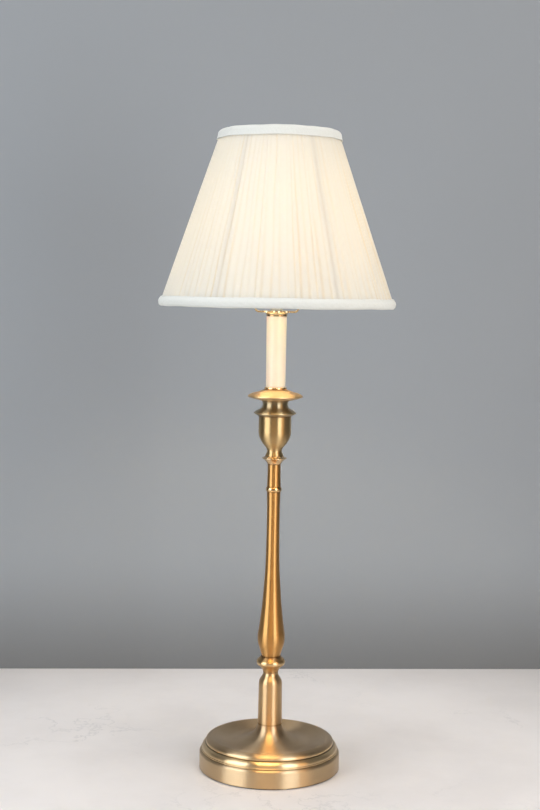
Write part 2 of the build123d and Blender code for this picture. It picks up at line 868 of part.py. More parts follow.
def shade_bottom_trim():
    """The bias binding folded over the bottom ring, fullest at its middle."""
    end = SHADE_BOTTOM + 12.0
    inner = lining_radius(end) - LINING_THICKNESS
    section = outline(
        (cover_radius(end), end),
        ((TRIM_BOTTOM_RADIUS - 0.9, SHADE_BOTTOM + 9.8), (TRIM_BOTTOM_RADIUS, SHADE_BOTTOM + 7.2),
         (TRIM_BOTTOM_RADIUS - 0.6, SHADE_BOTTOM + 4.2), (TRIM_BOTTOM_RADIUS - 2.4, SHADE_BOTTOM + 1.2),
         (TRIM_BOTTOM_RADIUS - 5.0, SHADE_BOTTOM)),
        ((inner + 2.2, SHADE_BOTTOM + 1.0), (inner + 1.2, SHADE_BOTTOM + 4.0)),
        (inner - 0.9, end),
    )
    return turned(section - inside_of_trim(end, RING_BOTTOM))


# Assembly

def lamp_nodes():
    wire = harp_wire()
    key_stem = switch_stem()
    top_ring = shade_ring(RING_TOP)
    bottom_ring = shade_ring(RING_BOTTOM)
    arms = spider_arms(top_ring)
    return {
        "felt_pad": felt_pad(),
        "base_weight": base_weight(),
        "base_band": base_band(),
        "base_dish": base_dish(),
        "cord_bushing": cord_bushing(),
        "bottom_washer": bottom_washer(),
        "bottom_nut": bottom_nut(),
        "lamp_pipe": lamp_pipe(),
        "lower_column": lower_column(),
        "knop": knop(),
        "baluster": baluster(),
        "stem_bead": stem_bead(),
        "upper_stem": upper_stem(),
        "cup_foot": cup_foot(),
        "candle_cup": candle_cup(),
        "cup_rim": cup_rim(),
        "drip_pan": drip_pan(),
        "candle_ring": candle_ring(),
        "candle_sleeve": candle_sleeve(),
        "candle_cap": candle_cap(),
        "harp_saddle": harp_saddle(),
        "saddle_locknut": saddle_locknut(),
        "socket_cap": socket_cap(),
        "socket_shell": socket_shell(),
        "socket_liner": socket_liner(),
        "socket_body": socket_body(),
        "terminal_screws": terminal_screws(),
        "screw_shell": screw_shell(),
        "centre_contact": centre_contact(),
        "switch_stem": key_stem,
        "switch_key": switch_key(key_stem),
        "bulb_contact": bulb_contact(),
        "bulb_insulator": bulb_insulator(),
        "bulb_cap": bulb_cap(),
        "bulb_glass": bulb_glass(),
        "bulb_mount": bulb_mount(),
        "bulb_filament": bulb_filament(),
        "harp_wire": wire,
        "harp_seat": harp_seat(wire),
        "harp_ferrule_left": harp_ferrule(-1),
        "harp_ferrule_right": harp_ferrule(1),
        "finial_insert": finial_insert(),
        "finial": finial(),
        "shade_fitter": shade_fitter(),
        "shade_spider_arms": arms,
        "shade_top_ring": top_ring,
        "shade_bottom_ring": bottom_ring,
        "shade_ribs": shade_ribs(top_ring, bottom_ring),
        "shade_cover": shade_cover(),
        "shade_lining": shade_lining(),
        "shade_top_trim": shade_top_trim(arms),
        "shade_bottom_trim": shade_bottom_trim(),
    }


os.makedirs("parts", exist_ok=True)
for name, solid in lamp_nodes().items():
    export_step(solid, f"parts/{name}.step")
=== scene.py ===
# %% [markdown]
# # A candlestick table lamp
# This file dresses a finished solid model of a brass candlestick lamp. The hard parts keep their
# shapes from the solid model and only get finishes here. The cloth of the shade and the felt under
# the base are built again as meshes, because cloth needs folds that a solid model leaves out.
# Every length is in metres, +Z is up and the lamp's axis is the Z axis.

# %% Load the solid model
import random
from math import cos, exp, pi, radians, sin

import bpy
from mathutils import Euler, Matrix, Vector


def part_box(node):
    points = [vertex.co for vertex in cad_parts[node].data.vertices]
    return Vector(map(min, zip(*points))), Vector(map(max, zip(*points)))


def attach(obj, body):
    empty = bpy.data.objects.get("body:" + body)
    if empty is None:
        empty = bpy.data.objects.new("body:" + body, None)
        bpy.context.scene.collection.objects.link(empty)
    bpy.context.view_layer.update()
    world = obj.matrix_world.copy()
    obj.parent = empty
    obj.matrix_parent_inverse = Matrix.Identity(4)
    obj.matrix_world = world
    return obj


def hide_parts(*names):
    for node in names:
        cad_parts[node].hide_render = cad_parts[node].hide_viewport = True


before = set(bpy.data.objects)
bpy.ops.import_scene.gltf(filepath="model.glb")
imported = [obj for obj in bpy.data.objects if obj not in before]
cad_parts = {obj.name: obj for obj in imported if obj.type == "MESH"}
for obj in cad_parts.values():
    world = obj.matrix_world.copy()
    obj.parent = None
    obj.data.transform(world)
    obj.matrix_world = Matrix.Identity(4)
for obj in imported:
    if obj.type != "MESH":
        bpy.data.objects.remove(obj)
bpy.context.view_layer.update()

# %% [markdown]
# ## Camera
# The photograph was taken from a little under two metres, from about the height of the shade's
# bottom, with the camera tipped down. Lines in it lean by about one degree, so the camera is rolled by
# that much.

# %% Camera
camera_place = Vector((0.0, -1.871, 0.634))
camera_tilt = radians(4.59)
camera_pan = radians(0.21)
camera_roll = radians(0.98)

camera = bpy.data.objects.new("camera", bpy.data.cameras.new("camera"))
bpy.context.scene.collection.objects.link(camera)
camera.data.lens = 63.8
aim = Euler((pi / 2 - camera_tilt, 0.0, camera_pan)).to_matrix().to_4x4()
camera.matrix_world = Matrix.Translation(camera_place) @ aim @ Matrix.Rotation(camera_roll, 4, "Z")
bpy.context.scene.camera = camera
print("camera at", [round(v, 3) for v in camera_place], "lens", round(camera.data.lens, 1), "mm")

# %% [markdown]
# ## Writing materials as code
# A material is a small tree of nodes. Two helpers keep the trees short: one adds a node and fills
# its inputs, and one adds a chain of arithmetic. A value is written on the socket, and a link is made
# when the value is another node's output.

# %% Node helpers
def add_node(tree, kind, inputs=None, **settings):
    made = tree.nodes.new(kind)
    for key, value in settings.items():
        setattr(made, key, value)
    for key, value in (inputs or {}).items():
        if isinstance(value, bpy.types.NodeSocket):
            tree.links.new(value, made.inputs[key])
        else:
            made.inputs[key].default_value = value
    return made


def sum_up(tree, operation, *values):
    """A Math node of that operation over the values, and its output."""
    return add_node(tree, "ShaderNodeMath", dict(enumerate(values)), operation=operation).outputs[0]


def ramp_between(tree, value, low, high):
    """0 below low and 1 above high, with a soft step between them."""
    made = add_node(tree, "ShaderNodeMapRange", {"Value": value, "From Min": low, "From Max": high})
    made.interpolation_type = "SMOOTHSTEP"
    return made.outputs["Result"]


def blend_colours(tree, share, first, second):
    made = add_node(tree, "ShaderNodeMix", data_type="RGBA")
    for socket, value in ((made.inputs[0], share), (made.inputs[6], first), (made.inputs[7], second)):
        if isinstance(value, bpy.types.NodeSocket):
            tree.links.new(value, socket)
        else:
            socket.default_value = value
    return made.outputs[2]


def noise(tree, vector, scale, detail=3.0, roughness=0.5):
    inputs = {"Vector": vector, "Scale": scale, "Detail": detail, "Roughness": roughness}
    return add_node(tree, "ShaderNodeTexNoise", inputs).outputs["Fac"]


def cylinder_coordinates(tree):
    """Outputs for a point's position, its distance from the lamp's axis, its height, and its angle
    in turns."""
    place = add_node(tree, "ShaderNodeTexCoord").outputs["Object"]
    x, y, z = add_node(tree, "ShaderNodeSeparateXYZ", {0: place}).outputs
    squares = sum_up(tree, "ADD", sum_up(tree, "POWER", x, 2.0), sum_up(tree, "POWER", y, 2.0))
    radius = sum_up(tree, "SQRT", squares)
    turns = sum_up(tree, "DIVIDE", sum_up(tree, "ARCTAN2", y, x), 2 * pi)
    return place, radius, z, turns


def new_group(name, inputs, outputs):
    """An empty node group with named inputs and outputs. A kind of Color, Float or Vector goes with
    each name."""
    group = bpy.data.node_groups.new(name, "ShaderNodeTree")
    for label, kind in inputs:
        group.interface.new_socket(label, in_out="INPUT", socket_type="NodeSocket" + kind)
    for label, kind in outputs:
        group.interface.new_socket(label, in_out="OUTPUT", socket_type="NodeSocket" + kind)
    return group, group.nodes.new("NodeGroupInput").outputs, group.nodes.new("NodeGroupOutput").inputs


def new_material(name, **sockets):
    """A material with a Principled shader. Each keyword is a socket's name with underscores."""
    material = bpy.data.materials.new(name)
    material.use_nodes = True
    tree = material.node_tree
    shader = tree.nodes["Principled BSDF"]
    for key, value in sockets.items():
        shader.inputs[key.replace("_", " ")].default_value = value
    return material, tree, shader


def use_group(tree, group, values=None):
    made = tree.nodes.new("ShaderNodeGroup")
    made.node_tree = group
    for key, value in (values or {}).items():
        made.inputs[key].default_value = value
    return made.outputs


def bump(tree, shader, height, distance, strength=1.0):
    inputs = {"Height": height, "Distance": distance, "Strength": strength}
    tree.links.new(add_node(tree, "ShaderNodeBump", inputs).outputs[0], shader.inputs["Normal"])


def wear(material, *nodes):
    """Puts a material on solid parts that keep their shape."""
    for name in nodes:
        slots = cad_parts[name].data.materials
        slots.clear()
        slots.append(material)
    print(material.name, "on", ", ".join(nodes))


# %% [markdown]
# ## Brass that was turned on a lathe
# A lathe leaves very fine rings, so reflections smear along the profile and stay sharp around it.
# Tarnish and painted shade darken the metal in the seams between stacked pieces, a cut groove gets a
# painted dark line of shade and dirt, and handling polishes the sharp rims. One group works out the
# colour, the roughness and the fine rings. It works from height and distance from the axis, so it fits
# every turned piece when it is told where that piece starts and ends.

# %% Group: turned brass
turned, given, result = new_group(
    "turned_metal",
    [("Fresh", "Color"), ("Aged and shaded", "Color"), ("Polished", "Color"), ("Bottom", "Float"), ("Top", "Float"),
     ("Rim", "Float"), ("Groove", "Float"), ("Seam width", "Float"), ("Mottle", "Float"),
     ("Base roughness", "Float")],
    [("Colour", "Color"), ("Roughness", "Float"), ("Height", "Float")],
)
place, radius, height, turns = cylinder_coordinates(turned)
profile = add_node(turned, "ShaderNodeCombineXYZ", {0: radius, 1: height}).outputs[0]
fine_rings = noise(turned, profile, 2600.0, 2.0)
broad_rings = noise(turned, profile, 420.0, 3.0)
clouds = noise(turned, place, 34.0, 6.0, 0.6)
smears = noise(turned, place, 9.0, 3.0)
# Painted shade with some tarnish: each piece is painted darker, in cloudy patches, near its two ends, where
# it meets the next piece.
to_end = sum_up(turned, "MINIMUM", sum_up(turned, "SUBTRACT", height, given["Bottom"]),
                sum_up(turned, "SUBTRACT", given["Top"], height))
seam_shade_and_tarnish = sum_up(turned, "SUBTRACT", 1.0, ramp_between(turned, to_end, 0.0, given["Seam width"]))
seam_shade_and_tarnish = sum_up(turned, "MULTIPLY", seam_shade_and_tarnish, ramp_between(turned, clouds, 0.25, 0.6))
rim_start = sum_up(turned, "SUBTRACT", given["Rim"], 0.0009)
rim = ramp_between(turned, radius, rim_start, given["Rim"])
# A painted dark line of shade and dirt along a cut groove.
from_groove = sum_up(turned, "ABSOLUTE", sum_up(turned, "SUBTRACT", height, given["Groove"]))
groove = sum_up(turned, "SUBTRACT", 1.0, ramp_between(turned, from_groove, 0.0002, 0.0010))
mottled = sum_up(turned, "MULTIPLY", ramp_between(turned, clouds, 0.42, 0.72), given["Mottle"])
colour = blend_colours(turned, mottled, given["Fresh"], given["Aged and shaded"])
colour = blend_colours(turned, sum_up(turned, "MULTIPLY", broad_rings, 0.08), colour, given["Aged and shaded"])
# The aged colour here is painted shade and tarnish in the seams.
colour = blend_colours(turned, sum_up(turned, "MULTIPLY", seam_shade_and_tarnish, 0.75), colour, given["Aged and shaded"])
colour = blend_colours(turned, sum_up(turned, "MULTIPLY", rim, 0.6), colour, given["Polished"])
groove_shade_and_dirt = (0.10, 0.055, 0.025, 1)
colour = blend_colours(turned, sum_up(turned, "MULTIPLY", groove, 0.85), colour, groove_shade_and_dirt)
turned.links.new(colour, result["Colour"])
rough = sum_up(turned, "MULTIPLY_ADD", sum_up(turned, "SUBTRACT", smears, 0.5), 0.06, given["Base roughness"])
rough = sum_up(turned, "MULTIPLY_ADD", seam_shade_and_tarnish, 0.12, rough)
rough = sum_up(turned, "MULTIPLY_ADD", mottled, 0.08, rough)
rough = sum_up(turned, "MULTIPLY_ADD", rim, -0.08, rough)
turned.links.new(rough, result["Roughness"])
turned.links.new(sum_up(turned, "MULTIPLY_ADD", broad_rings, 0.35, fine_rings), result["Height"])
print("group", turned.name, "with", len(turned.nodes), "nodes")

# %% The brass of the stand
brass_fresh = (0.70, 0.485, 0.26, 1)
brass_pale = (0.65, 0.485, 0.30, 1)
# A darker, greyer copy of the brass, painted shade for the dish's dim reflections.
brass_shaded = (0.61, 0.44, 0.265, 1)
brass_amber = (0.62, 0.34, 0.115, 1)
brass_olive = (0.61, 0.43, 0.205, 1)
brass_dull = (0.48, 0.39, 0.235, 1)
brass_brown = (0.58, 0.36, 0.15, 1)
# The aged colour is real patina, and it is also the painted shade in the seams.
brass_aged_and_shaded = (0.34, 0.20, 0.085, 1)
brass_polished = (0.90, 0.68, 0.38, 1)
no_rim = 1.0
no_groove = -1.0


# The seam width is how far the painted shade and tarnish reach in from each end of a piece.
def turned_brass(node, roughness=0.37, seam_shade_and_tarnish=0.0018, mottle=0.10, rim=None, groove=no_groove,
                 fresh=brass_fresh, smear=0.95):
    """The finish for one turned piece. Its rim is its widest radius, unless it is told otherwise.
    smear is how far reflections are drawn out along the profile."""
    low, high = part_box(node)
    material, tree, shader = new_material(
        "satin_brass_" + node, Metallic=1.0, Anisotropic=smear, Anisotropic_Rotation=0.25)
    surface = use_group(tree, turned, {
        "Fresh": fresh, "Aged and shaded": brass_aged_and_shaded, "Polished": brass_polished, "Bottom": low.z, "Top": high.z,
        "Rim": high.x if rim is None else rim, "Groove": groove, "Seam width": seam_shade_and_tarnish, "Mottle": mottle,
        "Base roughness": roughness,
    })
    tree.links.new(surface["Colour"], shader.inputs["Base Color"])
    tree.links.new(surface["Roughness"], shader.inputs["Roughness"])
    bump(tree, shader, surface["Height"], 0.000003)
    around = add_node(tree, "ShaderNodeTangent", direction_type="RADIAL", axis="Z").outputs[0]
    tree.links.new(around, shader.inputs["Tangent"])
    wear(material, node)


turned_brass("base_band", roughness=0.38, seam_shade_and_tarnish=0.0012, rim=0.0935, fresh=brass_pale)
# The dish wears the darker copy of the brass, which paints shade on it.
turned_brass("base_dish", roughness=0.38, seam_shade_and_tarnish=0.0016, rim=0.0846, groove=0.0345, fresh=brass_shaded)
turned_brass("lower_column", rim=no_rim, smear=0.9)
turned_brass("knop", roughness=0.36, seam_shade_and_tarnish=0.003, fresh=brass_brown)
turned_brass("baluster", rim=no_rim, fresh=brass_amber)
turned_brass("stem_bead", roughness=0.22, seam_shade_and_tarnish=0.0012, fresh=brass_amber)
turned_brass("upper_stem", rim=no_rim, fresh=brass_amber)
turned_brass("cup_foot", roughness=0.22)
turned_brass("candle_cup", rim=no_rim, fresh=brass_olive)
turned_brass("cup_rim", roughness=0.36, seam_shade_and_tarnish=0.003, fresh=brass_dull)
turned_brass("drip_pan", roughness=0.48, seam_shade_and_tarnish=0.0012, smear=0.6)
turned_brass("candle_ring", roughness=0.2, seam_shade_and_tarnish=0.001)
turned_brass("candle_cap", roughness=0.2, seam_shade_and_tarnish=0.001)
turned_brass("finial", roughness=0.22, seam_shade_and_tarnish=0.0015)

# %% [markdown]
# ## Plated and drawn metal
# The harp, the saddle and the socket are bright plated parts. Wire is drawn through a die, which
# scratches it along its length, and plating is smooth with a few handling marks. One group gives
# speckled wear and smears by place, with a colour for the clean metal and one for the marks.

# %% Group: plated metal
plated, given, result = new_group(
    "plated_metal",
    [("Clean", "Color"), ("Marked", "Color"), ("Marks", "Float"), ("Base roughness", "Float"),
     ("Grain size", "Float")],
    [("Colour", "Color"), ("Roughness", "Float"), ("Height", "Float")],
)
place, radius, height, turns = cylinder_coordinates(plated)
grain = noise(plated, place, given["Grain size"], 4.0, 0.6)
patches = noise(plated, place, 60.0, 5.0, 0.55)
marks = sum_up(plated, "MULTIPLY", ramp_between(plated, patches, 0.5, 0.75), given["Marks"])
plated.links.new(blend_colours(plated, marks, given["Clean"], given["Marked"]), result["Colour"])
uneven = sum_up(plated, "SUBTRACT", patches, 0.5)
rough = sum_up(plated, "MULTIPLY_ADD", uneven, 0.16, given["Base roughness"])
plated.links.new(sum_up(plated, "MULTIPLY_ADD", marks, 0.2, rough), result["Roughness"])
plated.links.new(grain, result["Height"])
print("group", plated.name, "with", len(plated.nodes), "nodes")

# %% Harp, socket, nuts and contacts
def plated_metal(name, clean, marked, nodes, roughness=0.2, marks=0.5, grain=900.0, depth=0.00001):
    material, tree, shader = new_material(name, Metallic=1.0)
    surface = use_group(tree, plated, {
        "Clean": clean, "Marked": marked, "Marks": marks, "Base roughness": roughness, "Grain size": grain,
    })
    tree.links.new(surface["Colour"], shader.inputs["Base Color"])
    tree.links.new(surface["Roughness"], shader.inputs["Roughness"])
    bump(tree, shader, surface["Height"], depth)
    wear(material, *nodes)


pale_brass = (0.83, 0.69, 0.44, 1)
yellow_brass = (0.78, 0.60, 0.32, 1)
dull_brass = (0.36, 0.25, 0.13, 1)
zinc = (0.56, 0.57, 0.58, 1)
zinc_bloom = (0.30, 0.31, 0.31, 1)
plated_metal("harp_plating", pale_brass, dull_brass,
             ["harp_saddle", "harp_wire", "harp_seat", "harp_ferrule_left", "harp_ferrule_right"], marks=0.3)
plated_metal("bush_plating", yellow_brass, dull_brass, ["finial_insert"], roughness=0.25)
plated_metal("socket_plating", yellow_brass, dull_brass, ["socket_cap", "socket_shell"], roughness=0.22)
plated_metal("contact_brass", yellow_brass, dull_brass,
             ["terminal_screws", "screw_shell", "centre_contact", "switch_stem"], roughness=0.3, marks=0.6)
plated_metal("zinc_plating", zinc, zinc_bloom, ["saddle_locknut", "bottom_nut", "bottom_washer", "lamp_pipe"],
             roughness=0.32, marks=0.7, grain=500.0)
plated_metal("bulb_thread_metal", (0.74, 0.74, 0.73, 1), (0.45, 0.45, 0.44, 1), ["bulb_cap"], roughness=0.3)
plated_metal("dull_solder", (0.46, 0.46, 0.45, 1), (0.25, 0.25, 0.25, 1), ["bulb_contact"], roughness=0.5,
             marks=0.8, depth=0.00005)
plated_metal("filament_wire", (0.32, 0.31, 0.30, 1), (0.16, 0.15, 0.15, 1), ["bulb_filament"], roughness=0.4)
plated_metal("sand_cast_iron", (0.10, 0.095, 0.09, 1), (0.16, 0.075, 0.035, 1), ["base_weight"],
             roughness=0.7, marks=0.6, grain=420.0, depth=0.0004)
plated_metal("frame_enamel", (0.82, 0.80, 0.74, 1), (0.62, 0.58, 0.50, 1),
             ["shade_fitter", "shade_spider_arms", "shade_top_ring", "shade_bottom_ring", "shade_ribs"],
             roughness=0.4, marks=0.4, grain=700.0, depth=0.00003)
enamel = bpy.data.materials["frame_enamel"].node_tree.nodes["Principled BSDF"]
enamel.inputs["Metallic"].default_value = 0.0
enamel.inputs["Coat Weight"].default_value = 0.3

# %% [markdown]
# ## Moulded and painted parts
# The block that holds the contacts, the switch key and the cord bushing are moulded in dark plastic.
# It is never one flat black: a fine orange peel breaks the shine, and dust sits in patches. The
# candle is a painted tube. Paint on it pools in long soft streaks, a little warmer where it is thick.

# %% Group: moulded surface
moulded, given, result = new_group(
    "moulded_surface",
    [("Body", "Color"), ("Dust", "Color"), ("Dust amount", "Float"), ("Base roughness", "Float"),
     ("Peel size", "Float")],
    [("Colour", "Color"), ("Roughness", "Float"), ("Height", "Float")],
)
place, radius, height, turns = cylinder_coordinates(moulded)
peel = noise(moulded, place, given["Peel size"], 2.0)
dust = noise(moulded, place, 90.0, 6.0, 0.65)
dusty = sum_up(moulded, "MULTIPLY", ramp_between(moulded, dust, 0.45, 0.8), given["Dust amount"])
moulded.links.new(blend_colours(moulded, dusty, given["Body"], given["Dust"]), result["Colour"])
moulded.links.new(sum_up(moulded, "MULTIPLY_ADD", dusty, 0.4, given["Base roughness"]), result["Roughness"])
moulded.links.new(peel, result["Height"])
print("group", moulded.name, "with", len(moulded.nodes), "nodes")

# %% Plastic, card and glass stem
def moulded_part(name, body, dust_colour, nodes, roughness=0.38, amount=0.3, peel=900.0, depth=0.00003,
                 **sockets):
    material, tree, shader = new_material(name, **sockets)
    surface = use_group(tree, moulded, {
        "Body": body, "Dust": dust_colour, "Dust amount": amount, "Base roughness": roughness,
        "Peel size": peel,
    })
    tree.links.new(surface["Colour"], shader.inputs["Base Color"])
    tree.links.new(surface["Roughness"], shader.inputs["Roughness"])
    bump(tree, shader, surface["Height"], depth)
    wear(material, *nodes)


moulded_part("dark_phenolic", (0.022, 0.018, 0.016, 1), (0.12, 0.10, 0.08, 1),
             ["socket_body", "switch_key", "bulb_insulator"])
moulded_part("bushing_plastic", (0.035, 0.026, 0.02, 1), (0.11, 0.09, 0.07, 1), ["cord_bushing"],
             roughness=0.5)
moulded_part("liner_card", (0.42, 0.33, 0.21, 1), (0.26, 0.19, 0.11, 1), ["socket_liner"], roughness=0.8,
             amount=0.7, peel=1600.0, depth=0.0001)
moulded_part("mount_glass", (0.86, 0.88, 0.86, 1), (0.7, 0.7, 0.68, 1), ["bulb_mount"], roughness=0.1,
             amount=0.2, Transmission_Weight=0.8)

# %% The painted candle tube
candle_paint, tree, shader = new_material(
    "candle_paint", Coat_Weight=0.35, Coat_Roughness=0.2, Subsurface_Weight=0.12, Subsurface_Scale=0.002)
place, radius, height, turns = cylinder_coordinates(tree)
long_way = add_node(tree, "ShaderNodeMapping", {"Vector": place, "Scale": (1.0, 1.0, 0.08)}).outputs[0]
streaks = noise(tree, long_way, 230.0, 5.0, 0.55)
specks = noise(tree, place, 700.0, 2.0)
cream = blend_colours(tree, streaks, (0.855, 0.78, 0.655, 1), (0.81, 0.70, 0.53, 1))
# The colour turns darker towards the tube's foot.
low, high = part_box("candle_sleeve")
darkening_height = 0.003
foot_darkening = sum_up(tree, "SUBTRACT", 1.0, ramp_between(tree, height, low.z, low.z + darkening_height))
cream = blend_colours(tree, sum_up(tree, "MULTIPLY", foot_darkening, 0.35), cream, (0.45, 0.33, 0.19, 1))
tree.links.new(cream, shader.inputs["Base Color"])
tree.links.new(sum_up(tree, "MULTIPLY_ADD", streaks, 0.2, 0.3), shader.inputs["Roughness"])
bump(tree, shader, sum_up(tree, "ADD", streaks, specks), 0.00004)
wear(candle_paint, "candle_sleeve")

# %% [markdown]
# ## The bulb
# The lamp is on in the photograph. The frosted glass glows, and most of the warm light on the shade,
# the candle and the drip pan comes from it. The glow is a little weaker round the neck, where the cap
# shades the glass.

# %% Frosted bulb
bulb_frost, tree, shader = new_material("bulb_frost", Roughness=0.55, Emission_Strength=98.0)
place, radius, height, turns = cylinder_coordinates(tree)
frost = noise(tree, place, 1500.0, 2.0)
low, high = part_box("bulb_glass")
shaded_neck = 0.03
lit = ramp_between(tree, height, low.z, low.z + shaded_neck)
frosted = blend_colours(tree, frost, (0.92, 0.9, 0.86, 1), (0.84, 0.82, 0.77, 1))
tree.links.new(frosted, shader.inputs["Base Color"])
glow = blend_colours(tree, lit, (0.30, 0.17, 0.07, 1), (1.0, 0.85, 0.59, 1))
tree.links.new(glow, shader.inputs["Emission Color"])
bump(tree, shader, frost, 0.00003)
wear(bulb_frost, "bulb_glass")

# %% [markdown]
# ## Cloth
# Three cloths make the shade: the pleated cover, a smooth lining behind the wire ribs, and a folded
# binding round each ring. They are thin, and they let the bulb's light through, so each is a
# mix of a Principled shader for the light in front and a Translucent one for the light behind. The
# weave comes from one group that counts threads round the axis and up it. The bindings are cut on the
# bias, so their threads run at 45 degrees.

# %% Group: woven threads
woven, given, result = new_group(
    "woven_threads",
    [("Thread", "Color"), ("Gap", "Color"), ("Threads round", "Float"), ("Threads per metre", "Float"),
     ("Bias", "Float"), ("Slub", "Float")],
    [("Colour", "Color"), ("Height", "Float"), ("Slubs", "Float")],
)
place, radius, height, turns = cylinder_coordinates(woven)
round_phase = sum_up(woven, "MULTIPLY", sum_up(woven, "MULTIPLY", turns, given["Threads round"]), 2 * pi)
up_phase = sum_up(woven, "MULTIPLY", sum_up(woven, "MULTIPLY", height, given["Threads per metre"]), 2 * pi)
first_phase = sum_up(woven, "MULTIPLY_ADD", up_phase, given["Bias"], round_phase)
second_phase = sum_up(woven, "SUBTRACT", up_phase, sum_up(woven, "MULTIPLY", round_phase, given["Bias"]))
warp = sum_up(woven, "ABSOLUTE", sum_up(woven, "SINE", first_phase))
weft = sum_up(woven, "ABSOLUTE", sum_up(woven, "SINE", second_phase))
threads = sum_up(woven, "MAXIMUM", warp, weft)
stretched = add_node(woven, "ShaderNodeMapping", {"Vector": place, "Scale": (1.0, 1.0, 0.18)}).outputs[0]
slubs = noise(woven, stretched, 420.0, 4.0, 0.6)
threads = sum_up(woven, "MULTIPLY_ADD", slubs, given["Slub"], threads)
woven.links.new(blend_colours(woven, ramp_between(woven, threads, 0.6, 1.2), given["Gap"], given["Thread"]),
                result["Colour"])
woven.links.new(threads, result["Height"])
woven.links.new(slubs, result["Slubs"])
print("group", woven.name, "with", len(woven.nodes), "nodes")

# %% Cloth materials
rib_shade = (0.62, 0.59, 0.53, 1)


def cloth(name, thread, gap, through, share, round_count, per_metre, bias=0.0, fold_shade_colour=None, sheen=0.25):
    """A cloth that shows thread and gap colours in front, and lets light of the colour through pass
    from behind. share is how much of it is the translucent part."""
    material, tree, shader = new_material(
        name, Roughness=0.85, Sheen_Weight=sheen, Sheen_Roughness=0.4, Specular_IOR_Level=0.25)
    weave = use_group(tree, woven, {
        "Thread": thread, "Gap": gap, "Threads round": round_count, "Threads per metre": per_metre,
        "Bias": bias, "Slub": 0.35,
    })
    front = weave["Colour"]
    behind = blend_colours(tree, weave["Slubs"], through, [0.93 * c for c in through[:3]] + [1.0])
    # Painted shade in the pleat folds: where two layers overlap, the light from behind is painted weaker and
    # the front is painted darker.
    if fold_shade_colour:
        fold_shade = add_node(tree, "ShaderNodeAttribute", attribute_name="fold_shade").outputs["Fac"]
        behind = blend_colours(tree, fold_shade, behind, fold_shade_colour)
        rib = add_node(tree, "ShaderNodeAttribute", attribute_name="rib").outputs["Fac"]
        behind = blend_colours(tree, rib, behind, rib_shade)
        front = blend_colours(tree, sum_up(tree, "MULTIPLY", fold_shade, 0.4), front, fold_shade_colour)
    tree.links.new(front, shader.inputs["Base Color"])
    bump(tree, shader, weave["Height"], 0.00006, 0.6)
    lit = add_node(tree, "ShaderNodeBsdfTranslucent", {"Color": behind})
    mixed = add_node(tree, "ShaderNodeMixShader", {0: share, 1: shader.outputs[0], 2: lit.outputs[0]})
    tree.links.new(mixed.outputs[0], tree.nodes["Material Output"].inputs["Surface"])
    return material


# The cover's fold colour is the painted shade in its pleat folds.
cover_cloth = cloth("pleated_silk", (0.94, 0.93, 0.875, 1), (0.89, 0.87, 0.80, 1), (1.0, 0.985, 0.93, 1),
                    0.43, 1500.0, 1900.0, fold_shade_colour=(0.88, 0.77, 0.56, 1))
lining_cloth = cloth("lining_silk", (0.90, 0.88, 0.82, 1), (0.83, 0.80, 0.72, 1), (0.97, 0.93, 0.87, 1),
                     0.42, 1800.0, 2400.0, sheen=0.4)
binding_cloth = cloth("bias_binding", (0.865, 0.88, 0.835, 1), (0.77, 0.785, 0.735, 1),
                      (0.85, 0.84, 0.76, 1), 0.12, 1300.0, 1300.0, bias=1.0)

# %% [markdown]
# ## The shade's shapes
# The cover is a cone of soft pleats. On the real one, a strip is laid in narrow folds and stitched to
# the rings, so each pleat has a quick rise and a slow fall, and no two are the same. The mesh walks
# round the cone with many columns to a pleat, and every pleat gets its own width, depth and wander
# from seeded random numbers. Two values are stored on the mesh, and the cloth's material reads them:
# the fold value is painted shade where two layers of a pleat overlap, on the front and on the light
# from behind, and rib the lines where the frame's wires shade it.

# %% Cone sizes, as in the solid model
shade_bottom = 0.6112
shade_height = 0.2270
cone_bottom = 0.1542
cone_top = 0.0759
pleat_depth_below = 0.0017
pleat_depth_lost = 0.0009
lining_gap = 0.0035
lining_ease = 0.0003
cover_low, cover_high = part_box("shade_cover")
cloth_bottom, cloth_top = cover_low.z, cover_high.z


def cone_radius(height):
    share = (height - shade_bottom) / shade_height
    return cone_bottom + (cone_top - cone_bottom) * share


def pleat_depth(height):
    share = (height - shade_bottom) / shade_height
    return pleat_depth_below - pleat_depth_lost * share


def lining_radius(height):
    """The outside of the lining: behind the cover, the ribs' wire and a little air."""
    return cone_radius(height) - pleat_depth(height) - lining_gap


print("cover from", round(cloth_bottom, 4), "to", round(cloth_top, 4))

# %% A helper that makes one closed skin from rings of points
def closed_skin(name, rings, body, material, attributes=()):
    """rings is a list of closed loops, each a list of points. Neighbours are joined, and the last is
    joined to the first, so the skin is a closed tube that goes round the lamp."""
    count = len(rings[0])
    points = [point for ring in rings for point in ring]
    faces = []
    for row in range(len(rings)):
        here, there = row * count, (row + 1) % len(rings) * count
        for column in range(count):
            beside = (column + 1) % count
            faces.append((here + column, here + beside, there + beside, there + column))
    mesh = bpy.data.meshes.new(name)
    mesh.from_pydata(points, [], faces)
    mesh.polygons.foreach_set("use_smooth", [True] * len(faces))
    for label, values in attributes:
        mesh.attributes.new(label, "FLOAT", "POINT").data.foreach_set("value", values)
    mesh.materials.append(material)
    piece = bpy.data.objects.new(name, mesh)
    bpy.context.scene.collection.objects.link(piece)
    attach(piece, body)
    print(name, len(points), "points", len(faces), "faces")
    return piece


def cloth_area(piece):
    """Half of the skin's area, which is the area of the cloth in it."""
    return sum(face.area for face in piece.data.polygons) / 2


